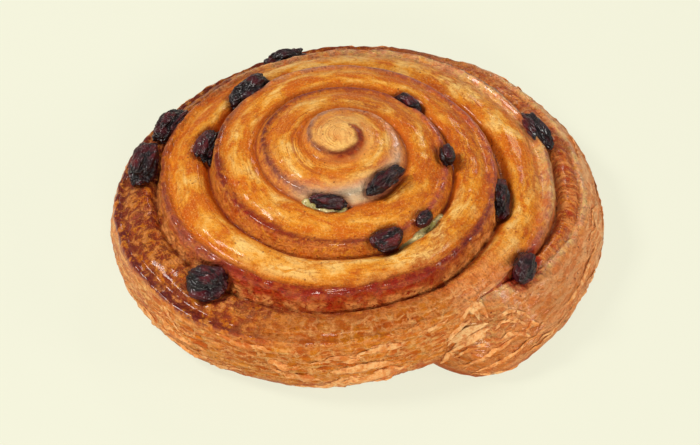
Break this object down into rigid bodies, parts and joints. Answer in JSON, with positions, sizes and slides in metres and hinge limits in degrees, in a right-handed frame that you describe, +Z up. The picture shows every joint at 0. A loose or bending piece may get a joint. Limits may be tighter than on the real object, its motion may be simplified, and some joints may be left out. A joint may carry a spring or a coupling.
{
  "type": "raisin danish",
  "caption": "Round coiled pastry of laminated dough, domed towards the middle, with custard and raisins in its spiral seam, for food and bakery scenes.",
  "frame": {"origin": "centre of the bottom of the bounding box, on the flat base", "axes": "+X along the longest side of the oval outline, with the tail of the strip at the +X, -Y side; +Z up, through the domed top"},
  "size_m": [0.1154, 0.1055, 0.0346],
  "materials": {
    "crust": "baked, egg-washed golden brown crust with a thin glaze",
    "custard": "set pale yellow custard",
    "raisin": "dark, wrinkled and slightly glossy skin"
  },
  "bodies": {
    "root": {"dough": "crust", "custard": "custard", "raisin_01": "raisin", "raisin_02": "raisin", "raisin_03": "raisin", "raisin_04": "raisin", "raisin_05": "raisin", "raisin_06": "raisin", "raisin_07": "raisin", "raisin_08": "raisin", "raisin_09": "raisin", "raisin_10": "raisin", "raisin_11": "raisin", "raisin_12": "raisin", "raisin_13": "raisin", "raisin_14": "raisin", "raisin_15": "raisin"}
  },
  "joints": []
}
